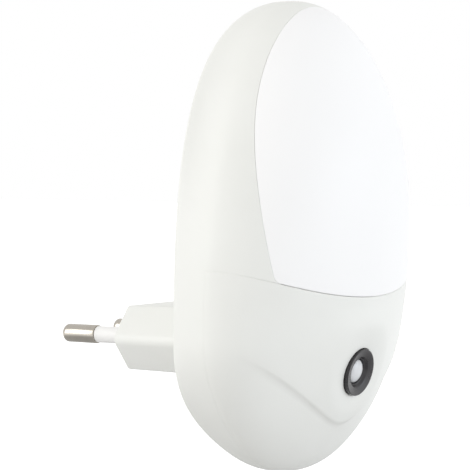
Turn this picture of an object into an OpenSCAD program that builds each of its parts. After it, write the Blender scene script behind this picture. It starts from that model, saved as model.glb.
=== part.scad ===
// Plug-in night light with a dusk sensor.
// The origin is the centre of the plug's engagement face, between the pins.
// +Y points along the pins to the wall, -Y is the front of the light, +Z is up.

/* [Body] */
// Height of the egg-shaped body
body_h = 98.7; // [92:0.1:115]
// Greatest width of the body
body_w = 68; // [66:0.5:80]
// How far the body reaches below the plug's axis
body_drop = 27.4; // [26:0.1:34]
// How far the front bulges ahead of the widest outline
bulge = 21.3; // [20.5:0.1:27]
// Depth of the body behind its widest outline
back_depth = 7.7; // [7.2:0.1:11]
// Height of the widest outline above the plug's axis
wide_z = 1.5; // [-1:0.5:4]
// Height of the deepest bulge above the plug's axis
deep_z = 31; // [26:0.5:34]
// Roundness of the outline above its widest height, 2 is an ellipse
top_power = 2.15; // [2.05:0.05:2.5]
// Roundness of the outline below its widest height
bottom_power = 1.8; // [1.75:0.05:2.2]
// Roundness of the front's side profile below the deepest bulge
front_power = 1.85; // [1.8:0.05:2.2]
// Roundness of the front's side profile above the deepest bulge
brow_power = 2; // [1.9:0.05:2.2]
// How much leaner the front's flanks get towards the bottom
flank = 0.3; // [0.1:0.05:0.4]
// Roundness of the edge round the back
back_power = 3; // [2:0.1:5]
// How far the flat back is set in at the sides
back_side_inset = 0.9; // [0.6:0.1:2]
// How far the flat back is set in at the top
back_top_inset = 6.4; // [4:0.1:8]
// How far the flat back is set in at the bottom
back_bottom_inset = 7.5; // [5:0.1:8]
// How much squarer the flat back's outline is than the body's
back_square = 0.6; // [0.3:0.05:0.8]
// Wall of the moulded shells
wall = 1.6; // [1.2:0.1:1.8]
// Wall of the rim beside the diffuser
rim_wall = 0.9; // [0.7:0.05:1]
// Thickness of the flat back
back_wall = 1.8; // [1.4:0.1:2.4]

/* [Diffuser] */
// Distance of the diffuser's oval from the body's sides
lens_side = 5.8; // [5.6:0.1:6.6]
// Distance of the diffuser's oval from the body's top
lens_top = 1.3; // [1.2:0.1:2.4]
// Height of the oval's centre above the plug's axis
lens_z = 28.5; // [27.5:0.5:29]
// How far the round of the diffuser's lower corners reaches along each edge
lens_corner = 1.3; // [0.8:0.1:2]
// Height of the seam under the diffuser, at the middle
seam_z = 10; // [8:0.5:12]
// Radius of the seam's sag
seam_r = 90; // [70:1:160]
// Gap round the diffuser and along the seam
seam_gap = 0.15; // [0.1:0.05:0.3]
// How far the diffuser's flange reaches down behind the cover
flange_w = 0.8; // [0.5:0.1:1]
// How far the diffuser's edge leans in over its depth
lens_lean = 1.8; // [1.6:0.1:2.4]
// Thickness of the diffuser's flange
flange_t = 0.9; // [0.6:0.1:1.1]

/* [Sensor] */
// Height of the sensor above the plug's axis
sensor_z = -5.8; // [-8:0.2:-4]
// How far the sensor looks down, in degrees
sensor_tilt = 15; // [8:1:20]
// Radius of the shallow dish round the sensor
dish_r = 110; // [80:1:160]
// Depth of the dish
dish_depth = 0.6; // [0.5:0.1:1.2]
// Outer diameter of the bezel
bezel_d = 10; // [9.2:0.1:11]
// Height of the bezel above the dish
bezel_h = 1.4; // [1:0.1:2]
// Edge round of the bezel
bezel_round = 0.3; // [0.2:0.05:0.45]
// Diameter of the bezel's mouth
mouth_d = 6.7; // [6.2:0.1:7.2]
// How far the bezel's face slopes in to its mouth
mouth_drop = 0.5; // [0.3:0.05:0.7]
// Diameter of the lens that shows
pupil_d = 5.2; // [4.8:0.1:5.4]
// Diameter of the bezel's barrel
barrel_d = 7.6; // [7.4:0.1:8]
// Length of the barrel behind the dish
barrel_len = 5; // [4.4:0.1:6]
// Diameter of the lens's seat in the barrel
lens_seat_d = 6; // [5.8:0.1:6.2]
// Thickness of the lens's rim
lens_rim = 1; // [0.8:0.1:1.4]
// Height of the lens's crown above its rim
lens_crown = 1.1; // [0.8:0.1:1.3]
// Diameter of the photocell
photocell_d = 5; // [4.4:0.1:5.2]
// Thickness of the photocell
photocell_t = 2; // [1.6:0.1:2.4]
// Diameter of the boss behind the dish
sensor_boss_d = 14; // [12:0.2:15]
// Thickness of the cover at the sensor's boss
sensor_boss_t = 2.2; // [1.8:0.1:2.6]
// Thickness of the lip in front of the lens
lens_lip = 0.4; // [0.3:0.05:0.6]
// Spacing of the photocell's legs
photocell_pitch = 2.54; // [2:0.02:3]
// Diameter of the legs of the wired components
leg_d = 0.6; // [0.5:0.05:0.8]
// Diameter of the bezel's push-on retainer
retainer_d = 11.4; // [10.5:0.1:11.8]
// Thickness of the retainer
retainer_t = 1; // [0.8:0.1:1.2]
// Height of the lowest point of the crease round the chin
crease_z = -16.8; // [-19:0.2:-14.5]
// Rise of the crease towards the sides
crease_slope = 0.55; // [0.4:0.05:0.65]
// How softly the crease turns at its lowest point
crease_turn = 2.5; // [1.5:0.1:5]
// Width of the step below the crease
crease_w = 1.6; // [1:0.1:2.5]
// How far the chin is set in below the crease
chin_dent = 0.7; // [0.3:0.05:0.8]

/* [Plug] */
// From the plug's engagement face to the flat back
stub_len = 26.5; // [22:0.5:32]
// Width of the plug's hexagonal face
face_w = 35.3; // [34.6:0.1:36]
// Height of the plug's hexagonal face
face_h = 13.7; // [13:0.1:14.4]
// Radius of the hexagon's two side corners
vertex_r = 1.6; // [1.2:0.1:4]
// Slant of the hexagon's sides, in degrees
vertex_angle = 44; // [42:1:50]
// How much the plug grows towards the body on each side
stub_draft = 0.3; // [0.1:0.05:0.6]
// Wall of the plug
stub_wall = 1.8; // [1.5:0.1:2.2]
// Thickness of the wall that holds the pins
end_wall = 3; // [2.4:0.1:4]
// Distance between the pins
pin_spacing = 18.6; // [18:0.1:19.2]
// Diameter of the pins
pin_d = 4; // [3.9:0.02:4.1]
// Length of the pins
pin_len = 19; // [18.5:0.1:19.5]
// Bare length at the end of each pin
bare_len = 8.8; // [8:0.1:9.5]
// Edge round of the pins' tips
tip_round = 1.2; // [0.8:0.05:1.6]
// Outer diameter of the pins' sleeves
sleeve_d = 3.6; // [3.4:0.05:3.8]
// Diameter of the pins inside the sleeves
core_d = 2.8; // [2.4:0.05:3]
// Diameter of the collar that holds each pin
collar_d = 5.6; // [5:0.1:6.4]
// Thickness of the collar
collar_t = 1.2; // [1:0.1:1.6]
// Diameter of the pins' solder tails
tail_d = 2.2; // [2:0.05:2.3]
// Length of the solder tails
tail_len = 6; // [5:0.1:8]
// Thickness of the plate that holds the pins in the plug
plate_t = 2; // [1.6:0.1:2.6]
// Diameter of the leads from the pins to the driver board
lead_d = 1.8; // [1.4:0.1:2.2]

/* [Driver board] */
// Width of the driver board
board_w = 38; // [37:0.5:39]
// Height of the driver board
board_h = 32; // [31:0.5:33]
// Height of the driver board's middle above the plug's axis
board_z = -2; // [-2.5:0.5:-1.5]
// Thickness of the boards
board_t = 1.6; // [1:0.1:1.8]
// Height of the driver board's posts above the flat back's inside
board_post = 4.9; // [4:0.1:5.4]
// Corner radius of the boards
board_r = 2; // [1:0.1:3]
// Distance of the board screws from the board's edges
board_screw_edge = 3; // [2.8:0.1:3.2]
// Film capacitor: width, height and depth
film_cap = [13, 6, 11]; // [5:0.5:13]
// Place of the film capacitor on the board
film_cap_at = [-10, 3]; // [-12:0.5:5]
// Chamfer of the film capacitor's edges
cap_chamfer = 1; // [0.5:0.1:1.5]
// Diameter of the smoothing capacitor
can_d = 8; // [6:0.1:8.4]
// Length of the smoothing capacitor
can_len = 11.5; // [9:0.1:12]
// Place of the smoothing capacitor's middle on the board
can_at = [1, -12.6]; // [-13:0.1:2]
// Crimp round the smoothing capacitor's end
crimp = 0.5; // [0.3:0.1:0.7]
// Bridge rectifier: width, height and depth
bridge = [8, 6.4, 3.2]; // [2:0.1:9]
// Place of the bridge rectifier on the board
bridge_at = [11, 9]; // [8:0.5:12]
// Length of the fusible resistor's body
fuse_len = 9; // [7:0.1:9]
// Diameter of the fusible resistor's body
fuse_d = 3.5; // [2.4:0.1:3.6]
// Place of the fusible resistor on the board
fuse_at = [10.5, 1.8]; // [1:0.1:11]
// Length of the carbon resistors' bodies
resistor_len = 6.4; // [5:0.1:8]
// Diameter of the carbon resistors' bodies
resistor_d = 2.4; // [1.8:0.1:2.8]
// How much longer a wired resistor's span is than its body
leg_reach = 4; // [3.6:0.1:6]
// Places of the two carbon resistors on the board
resistors_at = [[-11.5, -4.5], [-11.5, -8.5]]; // [-12:0.5:-4]
// Place of the transistor on the board
transistor_at = [11, -5]; // [-6:0.5:12]
// Diameter of the transistor's body
transistor_d = 4.6; // [4:0.1:5]
// Height of the transistor's body above the board
transistor_stand = 2; // [1:0.1:4]
// Spacing of the transistor's legs
leg_pitch = 1.27; // [1:0.01:1.5]

/* [Light board] */
// Width of the light board
light_w = 28; // [26:0.5:30]
// How far the light board's ends stay inside the reflector's floor
light_trim = 0.5; // [0.2:0.1:1]
// Height of the light board's posts above the flat back's inside
light_post = 8.7; // [8.4:0.1:9.5]
// Distance of the light board's screws from its ends
light_screw_edge = 7; // [6:0.1:8]
// Distance of the lamps from the light board's sides
led_side = 5; // [4.5:0.1:6]
// Distance of the first and last lamps from the light board's ends
led_edge = 7; // [6:0.1:9]
// Rows of lamps
led_rows = 3; // [2:1:3]
// Lamp: width, height and thickness
led = [2.8, 3.5, 0.8]; // [0.6:0.1:3.6]
// Distance of the reflector's rim from the sides of the diffuser's oval
reflector_side = 7.4; // [7.2:0.1:8.2]
// Distance of the reflector's rim from the top of the diffuser's oval
reflector_top = 8; // [7.6:0.1:9]
// How much the reflector widens from its floor to its rim
reflector_flare = 2.9; // [2:0.1:3.4]
// Depth of the reflector
reflector_depth = 3; // [2.4:0.1:3.2]
// Wall of the reflector
reflector_wall = 0.8; // [0.6:0.1:1]
// Diameter of the link wires between the boards
link_d = 1.2; // [0.8:0.1:1.3]
// Spacing of the link wires
link_pitch = 8; // [6:0.5:10]
// Distance of the link wires' ends from the boards' edges
link_edge = 2; // [1.5:0.1:2.5]

/* [Fasteners] */
// Distance of the cover screws from the body's sides
cover_screw_side = 10; // [9.4:0.1:10.2]
// Height of the cover screws above the plug's axis
cover_screw_z = -8; // [-8.5:0.1:-5]
// Diameter of the cover screws' heads
cover_head_d = 4.6; // [4:0.1:5]
// Height of the cover screws' heads
cover_head_h = 1.8; // [1.4:0.1:2.2]
// Shank diameter of the cover screws
cover_shank_d = 2.5; // [2:0.1:2.7]
// Length of the cover screws under the head
cover_shank = 9.5; // [8:0.1:10]
// Depth of the holes that sink the cover screws' heads
sink_depth = 4.2; // [3:0.1:4.6]
// Wall round the screws' holes
boss_wall = 1.1; // [0.9:0.1:1.3]
// Thickness under the cover screws' heads
web = 1.6; // [1.2:0.1:2]
// Diameter of the small screws' heads
small_head_d = 3.8; // [3.4:0.1:4]
// Height of the small screws' heads
small_head_h = 1.2; // [1:0.1:1.5]
// Shank diameter of the small screws
small_shank_d = 2; // [1.8:0.1:2.2]
// Length of the small screws in their posts
small_bite = 3.6; // [3:0.1:4]
// Clearance of loose fits
clear = 0.1; // [0.05:0.05:0.2]

/* [Hidden] */
$fn = 48;

// Levels and planes
top_z = body_h - body_drop;
bottom_z = -body_drop;
back_y = -stub_len;
floor_y = back_y - back_wall;
part_y = back_y - back_depth;
board_back_y = floor_y - board_post;
board_front_y = board_back_y - board_t;
light_back_y = floor_y - light_post;
light_front_y = light_back_y - board_t;
reflector_floor_y = light_front_y - reflector_wall;
lens_a = body_w / 2 - lens_side;
lens_b = top_z - lens_top - lens_z;
reflector_r = lens_a - reflector_side;
reflector_floor_r = reflector_r - reflector_flare;
light_z = lens_z + lens_b - reflector_top - reflector_r;
light_h = 2 * (reflector_floor_r - light_trim);
cover_screw_x = body_w / 2 - cover_screw_side;

// Colours
shell_white = [0.93, 0.93, 0.91];
opal_white = [0.98, 0.98, 0.97];
bezel_black = [0.09, 0.09, 0.10];
nickel = [0.78, 0.77, 0.75];
board_green = [0.13, 0.40, 0.22];
steel = [0.70, 0.71, 0.73];

// Fineness of the moulded skins
oval_steps = 44;
corner_steps = 3;
lower_steps = 36;
back_rows = 5;
inner_bands = 3;
frame_rows = 5;
cover_cols = 32;
chin_rows = 8;
face_rows = 6;
lens_cols = 16;
lens_rows = 20;
tip_flat = 1.2;
lens_tip_angle = 86;

// Egg-shaped skin at a height: half its width, its depth and how round its section is, set in by a distance
function arch(t, power) = pow(max(0, 1 - pow(t, power)), 1 / power);
function half_width(z, inset) = (body_w / 2 - inset) * (z > wide_z
    ? arch((z - wide_z) / (top_z - inset - wide_z), top_power)
    : arch((wide_z - z) / (wide_z - bottom_z - inset), bottom_power));
function depth(z, inset) = (bulge - inset) * (z > deep_z
    ? arch((z - deep_z) / (top_z - inset - deep_z), brow_power)
    : arch((deep_z - z) / (deep_z - bottom_z - inset), front_power));
function section(z) = 2 - flank * pow(max(0, (deep_z - z) / (deep_z - bottom_z)), 1.5);
function skin_y(x, z, inset) = let (w = half_width(z, inset), n = section(z))
    w <= abs(x) ? part_y : part_y - depth(z, inset) * pow(1 - pow(abs(x) / w, n), 1 / n);
function on_skin(p, inset) = [p[0], skin_y(p[0], p[1], inset), p[1]];

// Outline of the body where the shells part, at an angle round its middle
function signed_power(v, e) = sign(v) * pow(abs(v), e);
function outline(a, side, top, bottom, square = 0) =
    let (power = square + (sin(a) > 0 ? top_power : bottom_power))
    [(body_w / 2 - side) * signed_power(cos(a), 2 / power),
    wide_z + (sin(a) > 0 ? top_z - top - wide_z : wide_z - bottom_z - bottom)
        * signed_power(sin(a), 2 / power)];
function outline_angle(z) = asin(pow((z - wide_z) / (top_z - wide_z), top_power / 2));

// Seam under the diffuser, a shallow sag that runs on round the sides
function seam(x) = seam_z + x * x / (2 * seam_r);
seam_side_z = seam(body_w / 2);

// Oval of the diffuser, with the angle where the seam cuts it
function oval(a, grow, grow_top) = [(lens_a + grow) * cos(a), lens_z + (lens_b + grow_top) * sin(a)];
function oval_corner(grow, grow_top, drop) =
    let (b = lens_b + grow_top, q = pow(lens_a + grow, 2) / (2 * seam_r), c = lens_z - seam_z + drop - q)
    asin((sqrt(b * b - 4 * q * c) - b) / (2 * q));
corner_angle = oval_corner(0, 0, 0);
corner_turn = lens_corner * 360 / (2 * PI * lens_b);

// Edge of the opening: up from the seam round one lower corner, over the top and down to the other corner
oval_start = corner_angle + corner_turn;
corner_x = oval(corner_angle, 0, 0)[0];
function rounded_corner(s) = let (low = [corner_x - lens_corner, seam(corner_x - lens_corner)])
    low * pow(1 - s, 2) + oval(corner_angle, 0, 0) * 2 * s * (1 - s) + oval(oval_start, 0, 0) * pow(s, 2);
function mirrored(p) = [-p[0], p[1]];
opening = concat([for (s = [0:1:corner_steps - 1]) rounded_corner(s / corner_steps)],
    [for (k = [0:oval_steps]) oval(oval_start + (180 - 2 * oval_start) * k / oval_steps, 0, 0)],
    [for (s = [corner_steps - 1:-1:0]) mirrored(rounded_corner(s / corner_steps))]);
opening_steps = len(opening) - 1;

// Angles round the outline: over the top beside the opening, then round the bottom
low_z = opening[0][1];
crown_z = lens_z + lens_b;
function beside(p) = let (z = seam_side_z + (top_z - seam_side_z) * (p[1] - low_z) / (crown_z - low_z))
    p[0] > 0 ? outline_angle(z) : 180 - outline_angle(z);
upper_angles = [for (p = opening) beside(p)];
side_angle = upper_angles[0];
lower_angles = [for (k = [1:lower_steps - 1])
    180 - side_angle + (180 + 2 * side_angle) * k / lower_steps];
loop_angles = concat(upper_angles, lower_angles);

// Solid between an outer and an inner grid of points, with loops round its edge between them
function quad(a, b, c, d) = [[a, b, c], [a, c, d]];
function grid_edge(rows, cols, first) = concat([for (c = [0:cols - 1]) first + c],
    [for (r = [1:rows - 1]) first + r * cols + cols - 1],
    [for (c = [cols - 2:-1:0]) first + (rows - 1) * cols + c],
    [for (r = [rows - 2:-1:1]) first + r * cols]);
function edge_points(grid) = let (rows = len(grid), cols = len(grid[0]), flat = [for (r = grid) each r])
    [for (k = grid_edge(rows, cols, 0)) flat[k]];
module patch(outer, loops, inner) {
    rows = len(outer);
    cols = len(outer[0]);
    count = rows * cols;
    ring = len(grid_edge(rows, cols, 0));
    last = count + len(loops) * ring;
    edges = concat([grid_edge(rows, cols, 0)],
        [for (k = [0:1:len(loops) - 1]) [for (j = [0:ring - 1]) count + k * ring + j]],
        [grid_edge(rows, cols, last)]);
    polyhedron(
        concat([for (r = outer) each r], [for (l = loops) each l], [for (r = inner) each r]),
        concat(
            [for (r = [0:rows - 2], c = [0:cols - 2]) let (k = r * cols + c)
                each quad(k, k + 1, k + cols + 1, k + cols)],
            [for (r = [0:rows - 2], c = [0:cols - 2]) let (k = last + r * cols + c)
                each quad(k, k + cols, k + cols + 1, k + 1)],
            [for (e = [0:len(edges) - 2], j = [0:ring - 1]) let (n = (j + 1) % ring)
                each quad(edges[e][j], edges[e + 1][j], edges[e + 1][n], edges[e][n])]));
}

// Rear moulding: a dish round the whole outline, which above the seam runs on to the opening
function back_loop(g, deep, inset) = let (s = 1 - pow(cos(g), 2 / back_power),
    y = part_y + deep * pow(sin(g), 2 / back_power))
    [for (a = loop_angles) let (p = outline(a, inset + back_side_inset * s, inset + back_top_inset * s,
        inset + back_bottom_inset * s, back_square * s)) [p[0], y, p[1]]];
function frame_row(t, inset) = [for (k = [0:opening_steps]) let (
    p = outline(upper_angles[k], inset, inset, inset) * (1 - t * t) + opening[k] * t * t)
    on_skin(k == 0 || k == opening_steps ? [p[0], seam(p[0])] : p, inset)];
module rear_shell() {
    count = len(loop_angles);
    upper = opening_steps + 1;
    outer_rows = back_rows + 1;
    inner_rows = inner_bands + 1;
    inner_first = outer_rows * count + frame_rows * upper;
    outer = function (k, j) k < outer_rows ? k * count + j
        : outer_rows * count + (k - outer_rows) * upper + j;
    inner = function (k, j) inner_first + (k < inner_rows ? k * count + j
        : inner_rows * count + (k - inner_rows) * upper + j);
    outer_last = outer_rows + frame_rows - 1;
    inner_last = inner_rows + frame_rows - 1;
    polyhedron(
        concat(
            [for (k = [0:back_rows]) each back_loop(90 - 90 * k / back_rows, back_depth, 0)],
            [for (k = [1:frame_rows]) each frame_row(k / frame_rows, 0)],
            [for (k = [0:inner_bands])
                each back_loop(90 - 90 * k / inner_bands, back_depth - back_wall, wall)],
            [for (k = [1:frame_rows]) each frame_row(k / frame_rows, rim_wall)]),
        concat(
            [[for (j = [0:count - 1]) outer(0, j)], [for (j = [count - 1:-1:0]) inner(0, j)]],
            [for (k = [0:back_rows - 1], j = [0:count - 1]) let (n = (j + 1) % count)
                each quad(outer(k, j), outer(k + 1, j), outer(k + 1, n), outer(k, n))],
            [for (k = [back_rows:outer_last - 1], j = [0:upper - 2])
                each quad(outer(k, j), outer(k + 1, j), outer(k + 1, j + 1), outer(k, j + 1))],
            [for (k = [0:inner_bands - 1], j = [0:count - 1]) let (n = (j + 1) % count)
                each quad(inner(k, j), inner(k, n), inner(k + 1, n), inner(k + 1, j))],
            [for (k = [inner_bands:inner_last - 1], j = [0:upper - 2])
                each quad(inner(k, j), inner(k, j + 1), inner(k + 1, j + 1), inner(k + 1, j))],
            [for (j = [0:upper - 2])
                each quad(outer(outer_last, j), inner(inner_last, j), inner(inner_last, j + 1),
                    outer(outer_last, j + 1))],
            [for (j = [upper - 1:count - 1]) let (n = (j + 1) % count)
                each quad(outer(back_rows, j), inner(inner_bands, j), inner(inner_bands, n),
                    outer(back_rows, n))],
            [for (k = [0:frame_rows - 1]) let (out = back_rows + k, in = inner_bands + k)
                each quad(outer(out, 0), inner(in, 0), inner(in + 1, 0), outer(out + 1, 0))],
            [for (k = [0:frame_rows - 1], j = [upper - 1]) let (out = back_rows + k, in = inner_bands + k)
                each quad(outer(out, j), outer(out + 1, j), inner(in + 1, j), inner(in, j))]));
}

// Lower front cover: rows of points from the bottom to the crease and on to the seam
function crease(x) = crease_z - crease_turn + sqrt(pow(crease_turn, 2) + pow(crease_slope * x, 2));
function skin_x(a, z, inset) = half_width(z, inset) * signed_power(cos(a), 2 / section(z));
function settle_crease(a, z, inset, n) = n == 0 ? z
    : settle_crease(a, crease(skin_x(a, z, inset)), inset, n - 1);
function settle_seam(a, z, inset, n) = n == 0 ? z
    : settle_seam(a, seam(skin_x(a, z, inset)) - seam_gap, inset, n - 1);
function cover_z(a, row, inset) = let (low = bottom_z + inset,
    mid = settle_crease(a, crease_z, inset, 4), top = settle_seam(a, seam_z, inset, 3))
    row <= chin_rows ? low + (mid - crease_w - low) * (1 - cos(90 * row / chin_rows))
    : mid + (top - mid) * (row - chin_rows - 1) / face_rows;
function cover_point(a, row, inset, dent) = let (z = cover_z(a, row, inset),
    sunk = inset + (row <= chin_rows ? dent * pow(row / chin_rows, 3) * pow(sin(a), 2) : 0))
    row == 0 ? [tip_flat * (1 - a / 90), part_y, z]
    : [skin_x(a, z, sunk), part_y - depth(z, sunk) * pow(sin(a), 2 / section(z)), z];
function cover_grid(inset, dent) = [for (row = [0:chin_rows + face_rows + 1])
    [for (c = [0:cover_cols]) cover_point(180 * c / cover_cols, row, inset, dent)]];
function flattened(grid, y) = [for (r = grid) [for (p = r) [p[0], y, p[2]]]];

// Diffuser: rows of points from the seam to the top of the oval
across = concat([1], [for (c = [0:lens_cols]) (1 - lens_corner / corner_x) * (1 - 2 * c / lens_cols)], [-1]);
up = concat([0], [for (r = [0:lens_rows]) let (first = corner_turn / (lens_tip_angle - corner_angle))
    first + (1 - first) * r / lens_rows]);
function lens_point(u, v, grow, grow_top, drop) = let (low = oval_corner(grow, grow_top, drop),
    corner = oval(low, grow, grow_top)[1], p = oval(low + (lens_tip_angle - low) * v, grow, grow_top))
    [p[0] * u, p[1] - (1 - u * u) * (corner - seam_z + drop) * pow(1 - v, 2)];
function lens_grid(grow, grow_top, drop, inset) = let (
    point = function (u, v) lens_point(u, v, grow, grow_top, drop),
    round = function (s) (2 * point(s, 0) + point(s * across[1], 0) + point(s, up[1])) / 4)
    [for (v = up) [for (u = across) on_skin(v == 0 && abs(u) == 1 ? round(u) : point(u, v), inset)]];

// Plug face: a hexagon with two rounded side corners
function half_hexagon(w, h, r) = let (x = w / 2 - r)
    concat([for (k = [-4:4]) let (a = vertex_angle * k / 4) [x + r * cos(a), r * sin(a)]],
        [[x + r * cos(vertex_angle) - (h / 2 - r * sin(vertex_angle)) * tan(vertex_angle), h / 2]]);
module plug_face(inset) {
    half = half_hexagon(face_w - 2 * inset, face_h - 2 * inset, max(clear, vertex_r - inset));
    polygon(concat([[half[9][0], -half[9][1]]], half,
        [for (p = [for (k = [9:-1:0]) half[k]]) [-p[0], p[1]]], [[-half[9][0], -half[9][1]]]));
}

// Placing: ahead of a plane with X and Z as seen from the front, or along the sensor's axis
module ahead_of(y) translate([0, y, 0]) rotate([90, 0, 0]) children();
module behind(y) translate([0, y, 0]) rotate([90, 0, 0]) mirror([0, 0, 1]) children();
module at_sensor() translate([0, skin_y(0, sensor_z, 0), sensor_z]) rotate([90 + sensor_tilt, 0, 0])
    translate([0, 0, -dish_depth]) children();
module both_sides() {
    children();
    mirror([1, 0, 0]) children();
}

// The plug runs on into the back wall, with its draft
stub_run = stub_len + back_wall / 2;
stub_grow = stub_draft * stub_run / stub_len;

// Places that pieces share
cover_bore_d = cover_shank_d + 2 * clear;
sink_d = cover_head_d + 4 * clear;
sink_y = back_y - sink_depth;
tower_y = sink_y - web;
post_y = tower_y - clear;
board_screws_at = [for (s = [-1, 1])
    [s * (board_w / 2 - board_screw_edge), board_z - s * (board_h / 2 - board_screw_edge)]];
light_screws_at = [for (s = [-1, 1]) [0, light_z + s * (light_h / 2 - light_screw_edge)]];
leds_at = [for (s = [-1, 1], k = [0:led_rows - 1])
    [s * (light_w / 2 - led_side), light_z + (2 * k / (led_rows - 1) - 1) * (light_h / 2 - led_edge)]];
small_bore_d = small_shank_d + 2 * clear;
post_d = small_shank_d + 2 * boss_wall + 8 * clear;

module rear_housing() color(shell_white) difference() {
    union() {
        rear_shell();
        ahead_of(0) linear_extrude(stub_run, slices = 1,
            scale = [1 + 2 * stub_grow / face_w, 1 + 2 * stub_grow / face_h]) plug_face(0);
        ahead_of(floor_y + clear) {
            both_sides() translate([cover_screw_x, cover_screw_z])
                cylinder(d = sink_d + 2 * boss_wall, h = floor_y + clear - tower_y);
            for (p = board_screws_at) translate(p)
                cylinder(d = post_d, h = board_post + clear);
            for (p = light_screws_at) translate(p)
                cylinder(d = post_d, h = light_post + clear);
        }
    }
    ahead_of(-end_wall) linear_extrude(stub_len + back_wall)
        plug_face(stub_wall);
    both_sides() translate([pin_spacing / 2, -end_wall - clear, 0]) rotate([-90, 0, 0])
        cylinder(d = sleeve_d + 2 * clear, h = end_wall + 2 * clear);
    both_sides() translate([cover_screw_x, 0, cover_screw_z]) {
        ahead_of(back_y + clear) cylinder(d = sink_d, h = sink_depth + clear);
        ahead_of(back_y) cylinder(d = cover_bore_d, h = sink_depth + web + clear);
    }
    for (p = board_screws_at) translate([p[0], 0, p[1]]) ahead_of(board_back_y + small_bite)
        cylinder(d = small_shank_d, h = small_bite + clear);
    for (p = light_screws_at) translate([p[0], 0, p[1]]) ahead_of(light_back_y + small_bite)
        cylinder(d = small_shank_d, h = small_bite + clear);
}

module sensor_cover() color(shell_white) difference() {
    union() {
        patch(cover_grid(0, chin_dent), [], cover_grid(wall, 0));
        intersection() {
            patch(cover_grid(wall / 2, chin_dent), [],
                flattened(cover_grid(wall / 2, 0), post_y + wall));
            both_sides() translate([cover_screw_x, 0, cover_screw_z]) ahead_of(post_y)
                cylinder(d = cover_shank_d + 2 * boss_wall + 8 * clear, h = bulge);
        }
        at_sensor() translate([0, 0, -sensor_boss_t])
            cylinder(d = sensor_boss_d, h = sensor_boss_t - wall / 4);
    }
    both_sides() translate([cover_screw_x, 0, cover_screw_z]) ahead_of(post_y + clear)
        cylinder(d = cover_shank_d, h = cover_shank - web + clear);
    at_sensor() {
        translate([0, 0, dish_r]) sphere(r = dish_r, $fn = 160);
        cylinder(d = bezel_d + 4 * clear, h = dish_depth + bezel_h);
        translate([0, 0, -barrel_len]) cylinder(d = barrel_d + 2 * clear, h = barrel_len + clear);
    }
}

lens_depth = wall + clear + flange_t;
function lens_shrink(inset) = seam_gap + lens_lean * inset / lens_depth;
module diffuser() color(opal_white) let (
    mid = lens_shrink(wall + clear),
    end = lens_shrink(lens_depth)
) patch(
    lens_grid(-seam_gap, -seam_gap, -seam_gap, 0),
    [edge_points(lens_grid(-mid, -mid, -seam_gap, wall + clear)),
        edge_points(lens_grid(-mid - clear, -mid - clear, flange_w, wall + clear))],
    lens_grid(-end, -end, flange_w, lens_depth));

module sensor_bezel() color(bezel_black) at_sensor() rotate_extrude() polygon(concat(
    [[lens_seat_d / 2, -barrel_len], [barrel_d / 2, -barrel_len], [barrel_d / 2, 0], [bezel_d / 2, 0]],
    [for (a = [0:30:90]) [bezel_d / 2 - bezel_round * (1 - cos(a)), bezel_h - bezel_round * (1 - sin(a))]],
    [[mouth_d / 2, bezel_h - mouth_drop], [pupil_d / 2, 0], [pupil_d / 2, -lens_lip],
        [lens_seat_d / 2, -lens_lip]]));

module bezel_retainer() color(bezel_black) at_sensor()
    translate([0, 0, -sensor_boss_t - clear - retainer_t]) difference() {
        cylinder(d = retainer_d, h = retainer_t);
        translate([0, 0, -clear]) cylinder(d = barrel_d, h = retainer_t + 2 * clear);
    }

module sensor_lens() color([0.85, 0.90, 0.93, 0.6]) at_sensor() translate([0, 0, -lens_lip])
    rotate_extrude() polygon(concat(
        [[0, -lens_rim], [lens_seat_d / 2 - clear, -lens_rim], [lens_seat_d / 2 - clear, 0]],
        [for (a = [0:15:90]) [(pupil_d / 2 - clear) * cos(a), lens_crown * sin(a)]]));

photocell_back = lens_lip + lens_rim + photocell_t;
photocell_mid = dish_depth + photocell_back - photocell_t / 2;
photocell_y = skin_y(0, sensor_z, 0) + photocell_mid * cos(sensor_tilt);
photocell_z = sensor_z + photocell_mid * sin(sensor_tilt);
module photocell() color([0.72, 0.30, 0.16]) {
    at_sensor() translate([0, 0, -photocell_back]) cylinder(d = photocell_d, h = photocell_t);
    both_sides() translate([photocell_pitch / 2, 0, photocell_z]) ahead_of(board_front_y)
        cylinder(d = leg_d, h = board_front_y - photocell_y);
}

module pin(side) translate([side * pin_spacing / 2, 0, 0]) rotate([-90, 0, 0]) rotate_extrude()
    polygon(concat(
        [[0, -end_wall - collar_t - tail_len], [tail_d / 2, -end_wall - collar_t - tail_len],
            [tail_d / 2, -end_wall - collar_t], [collar_d / 2, -end_wall - collar_t],
            [collar_d / 2, -end_wall], [core_d / 2, -end_wall], [core_d / 2, pin_len - bare_len],
            [pin_d / 2, pin_len - bare_len]],
        [for (a = [0:15:90]) [pin_d / 2 - tip_round * (1 - cos(a)), pin_len - tip_round * (1 - sin(a))]],
        [[0, pin_len]]));
module live_pin() color(nickel) pin(-1);
module neutral_pin() color(nickel) pin(1);

module sleeve(side) translate([side * pin_spacing / 2, -end_wall, 0]) rotate([-90, 0, 0]) difference() {
    cylinder(d = sleeve_d, h = end_wall + pin_len - bare_len);
    translate([0, 0, -clear]) cylinder(d = core_d, h = end_wall + pin_len - bare_len + 2 * clear);
}
module live_pin_sleeve() color(shell_white) sleeve(-1);
module neutral_pin_sleeve() color(shell_white) sleeve(1);

module pin_plate() color(shell_white) difference() {
    ahead_of(-end_wall - collar_t) linear_extrude(plate_t) plug_face(stub_wall + clear);
    both_sides() translate([pin_spacing / 2, 0, 0]) ahead_of(-end_wall) cylinder(d = tail_d + 2 * clear,
        h = collar_t + plate_t + clear);
}

module lead(side) translate([side * pin_spacing / 2, 0, 0]) ahead_of(-end_wall - collar_t - tail_len)
    cylinder(d = lead_d, h = -end_wall - collar_t - tail_len - board_back_y);
module live_lead() color([0.45, 0.26, 0.14]) lead(-1);
module neutral_lead() color([0.15, 0.30, 0.62]) lead(1);

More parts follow.
